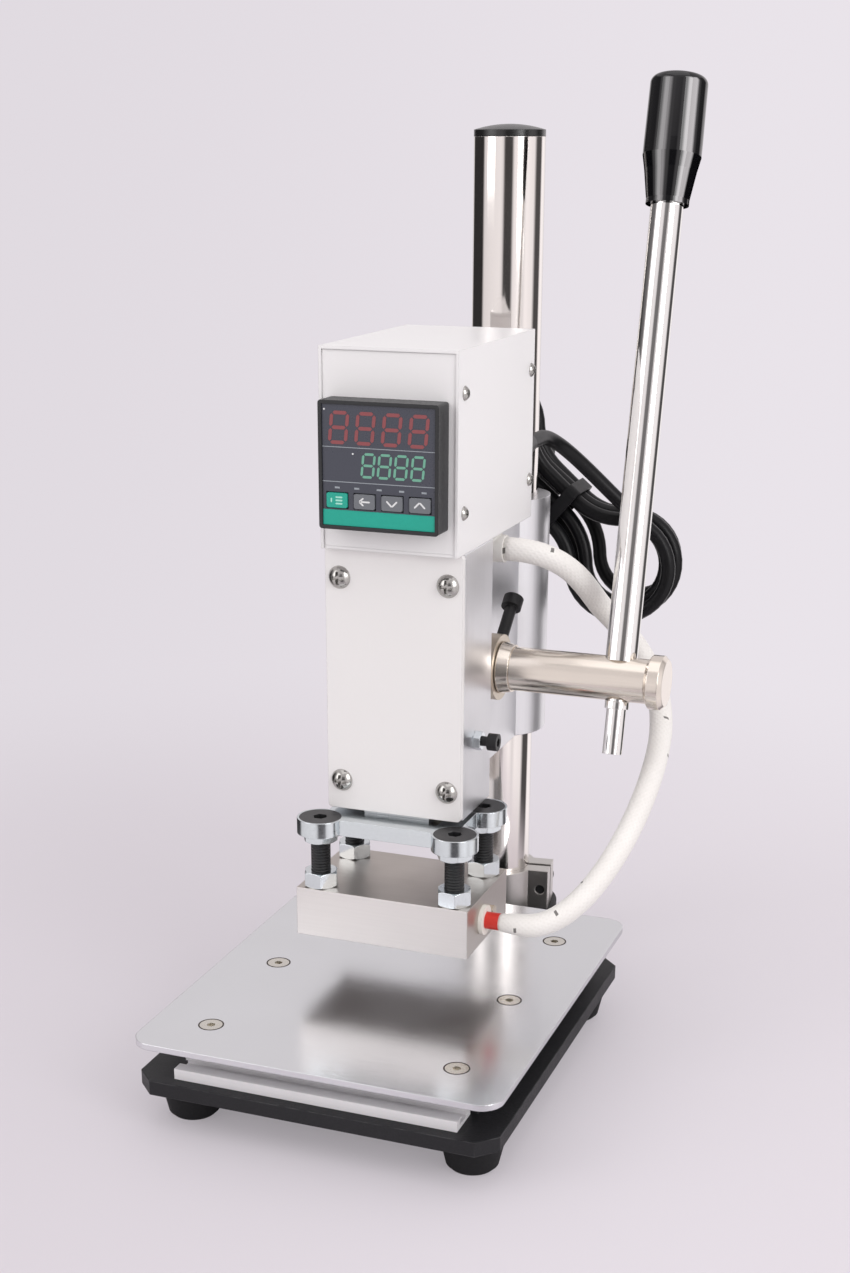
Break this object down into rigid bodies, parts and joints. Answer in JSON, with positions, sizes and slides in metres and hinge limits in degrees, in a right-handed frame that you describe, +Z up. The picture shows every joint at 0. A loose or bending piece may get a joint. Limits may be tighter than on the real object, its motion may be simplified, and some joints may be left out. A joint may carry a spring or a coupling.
{
  "type": "hot foil stamping machine",
  "caption": "Bench hot foil stamping press: a lever turns a pinion that drives a racked ram with a heated block down onto a work plate, under a column-mounted head.",
  "frame": {"origin": "on the bench, straight under the middle of the heating block", "axes": "+X to the lever's side, +Y to the column at the back, +Z up"},
  "size_m": [0.1735, 0.295, 0.3916],
  "materials": {
    "cast_black": "satin textured enamel",
    "foot_rubber": "matte",
    "rail_aluminium": "anodised satin",
    "plate_steel": "brushed",
    "small_steel": "satin",
    "column_chrome": "polished",
    "black_cap": "gloss",
    "collar_metal": "machined",
    "black_steel": "black oxide",
    "head_aluminium": "satin anodised",
    "cover_white": "satin enamel",
    "zinc": "bright zinc",
    "bronze": "machined",
    "box_white": "satin enamel",
    "bezel_black": "satin",
    "facia_grey": "gloss",
    "case_black": "matte",
    "key_green": "satin",
    "key_grey": "satin",
    "rocker_red": "gloss",
    "nickel": "bright nickel",
    "gear_steel": "machined",
    "rod_chrome": "polished",
    "grip_black": "gloss",
    "ram_steel": "ground",
    "heat_aluminium": "milled satin",
    "ceramic": "matte",
    "sleeve_red": "satin",
    "cable_cream": "braided sleeve",
    "bush_cream": "matte",
    "cord_black": "satin",
    "plug_black": "satin"
  },
  "bodies": {
    "base": {"base_casting": "cast_black", "rubber_feet": "foot_rubber", "front_rail": "rail_aluminium", "work_plate": "plate_steel", "plate_screws": "small_steel", "column": "column_chrome", "column_cap": "black_cap", "column_collar": "collar_metal", "collar_screw": "black_steel"},
    "head": {"head_body": "head_aluminium", "head_clamp_screws": "black_steel", "channel_cap": "head_aluminium", "front_cover": "cover_white", "cover_screws": "zinc", "gib_strip": "bronze", "gib_screw": "black_steel", "gib_locknut": "zinc", "shaft_bushes": "bronze", "bush_screw": "black_steel", "box_cover": "box_white", "box_front_panel": "box_white", "box_tray": "box_white", "box_screws": "zinc", "controller_bezel": "bezel_black", "controller_facia": "facia_grey", "controller_case": "case_black", "switch_frame": "case_black", "cord_gland": "cord_black", "cable_bush": "bush_cream", "return_spring": "gear_steel", "heater_cable": "cable_cream", "power_cord": "cord_black", "power_hank": "cord_black", "hank_tie": "plug_black", "power_plug": "plug_black"},
    "set_button": {"set_key": "key_green"},
    "shift_button": {"shift_key": "key_grey"},
    "down_button": {"down_key": "key_grey"},
    "up_button": {"up_key": "key_grey"},
    "rocker": {"switch_rocker": "rocker_red"},
    "lever": {"pinion_shaft": "nickel", "drive_pinion": "gear_steel", "stop_collar": "nickel", "shaft_end_cap": "nickel", "shaft_circlip": "black_steel", "lever_rod": "rod_chrome", "lever_grip": "grip_black"},
    "ram": {"ram_bar": "ram_steel", "ram_rack": "gear_steel", "rack_screws": "black_steel", "ram_screws": "black_steel", "stud_plate": "zinc", "stud_screws": "black_steel", "upper_nuts": "zinc", "lower_nuts": "zinc", "heating_block": "heat_aluminium", "heater_cartridge": "small_steel", "temperature_probe": "bronze", "heater_ferrule": "ceramic", "heater_sleeve": "sleeve_red"}
  },
  "joints": [
    {"name": "head_height", "type": "slide", "parent": "base", "child": "head", "axis": [0, 0, 1], "range_m": [0, 0.08]},
    {"name": "lever_turn", "type": "hinge", "parent": "head", "child": "lever", "pos_m": [0, 0.0396, 0.162], "axis": [1, 0, 0], "range_deg": [0, 111.5]},
    {"name": "ram_stroke", "type": "slide", "parent": "head", "child": "ram", "axis": [0, 0, -1], "range_m": [0, 0.0195], "stiffness_N_per_m": 300, "springref_m": -0.06, "deforming": ["return_spring", "heater_cable"]},
    {"name": "set_press", "type": "slide", "parent": "head", "child": "set_button", "axis": [0, 1, 0], "range_m": [0, 0.0005], "stiffness_N_per_m": 400, "springref_m": -0.0005},
    {"name": "shift_press", "type": "slide", "parent": "head", "child": "shift_button", "axis": [0, 1, 0], "range_m": [0, 0.0005], "stiffness_N_per_m": 400, "springref_m": -0.0005},
    {"name": "down_press", "type": "slide", "parent": "head", "child": "down_button", "axis": [0, 1, 0], "range_m": [0, 0.0005], "stiffness_N_per_m": 400, "springref_m": -0.0005},
    {"name": "up_press", "type": "slide", "parent": "head", "child": "up_button", "axis": [0, 1, 0], "range_m": [0, 0.0005], "stiffness_N_per_m": 400, "springref_m": -0.0005},
    {"name": "rocker_tip", "type": "hinge", "parent": "head", "child": "rocker", "pos_m": [-0.012, 0.0784, 0.268], "axis": [-1, 0, 0], "range_deg": [0, 18]}
  ],
  "couplings": [
    {"joint": "ram_stroke", "follows": "lever_turn", "m_per_rad": 0.01}
  ]
}
